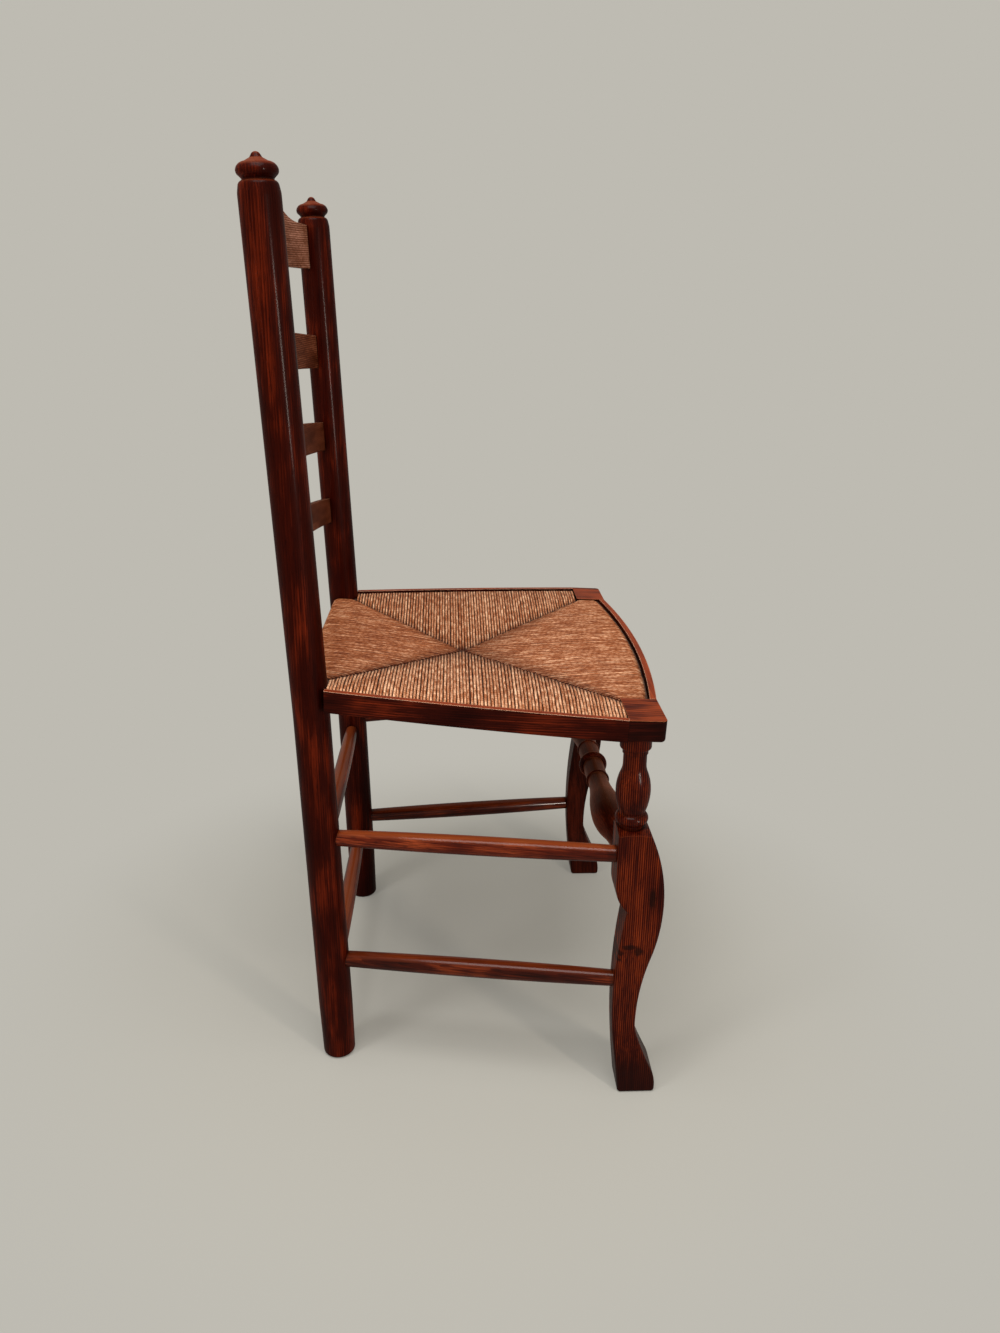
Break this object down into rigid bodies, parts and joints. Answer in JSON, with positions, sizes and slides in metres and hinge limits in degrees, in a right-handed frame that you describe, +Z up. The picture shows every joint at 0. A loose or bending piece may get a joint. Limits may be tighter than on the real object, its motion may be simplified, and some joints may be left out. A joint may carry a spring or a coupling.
{
  "type": "ladderback chair",
  "caption": "Rush-seated ladderback side chair with bowed slats between turned back posts, and front legs turned above and sawn to a curve below.",
  "frame": {"origin": "on the floor under the middle of the chair's bounding box", "axes": "+Z up, the chair faces -Y, +X to the sitter's left"},
  "size_m": [0.5148, 0.4308, 0.97],
  "materials": {
    "post_wood": "dark red-brown varnish, glossy, worn at the edges",
    "leg_wood": "dark red-brown varnish, glossy, open grain",
    "slat_wood": "thin dark stain, satin, horizontal grain",
    "stretcher_wood": "dark red-brown varnish, glossy, worn on top",
    "block_wood": "dark reddish varnish, glossy, rounded by wear",
    "strip_wood": "dark stain, satin, worn along the top edge",
    "rail_wood": "bare planed wood inside the rush",
    "rush": "twisted rush cords, dry, golden brown"
  },
  "bodies": {
    "root": {"back_post_left": "post_wood", "back_post_right": "post_wood", "corner_block_left": "block_wood", "corner_block_right": "block_wood", "edge_strip_front": "strip_wood", "edge_strip_left": "strip_wood", "edge_strip_right": "strip_wood", "front_leg_left": "leg_wood", "front_leg_right": "leg_wood", "front_stretcher": "stretcher_wood", "ladder_slat_1": "slat_wood", "ladder_slat_2": "slat_wood", "ladder_slat_3": "slat_wood", "ladder_slat_4": "slat_wood", "rear_stretcher_lower": "stretcher_wood", "rear_stretcher_upper": "stretcher_wood", "rush_seat": "rush", "seat_rail_back": "rail_wood", "seat_rail_front": "rail_wood", "seat_rail_left": "rail_wood", "seat_rail_right": "rail_wood", "side_stretcher_lower_left": "stretcher_wood", "side_stretcher_lower_right": "stretcher_wood", "side_stretcher_upper_left": "stretcher_wood", "side_stretcher_upper_right": "stretcher_wood"}
  },
  "joints": []
}
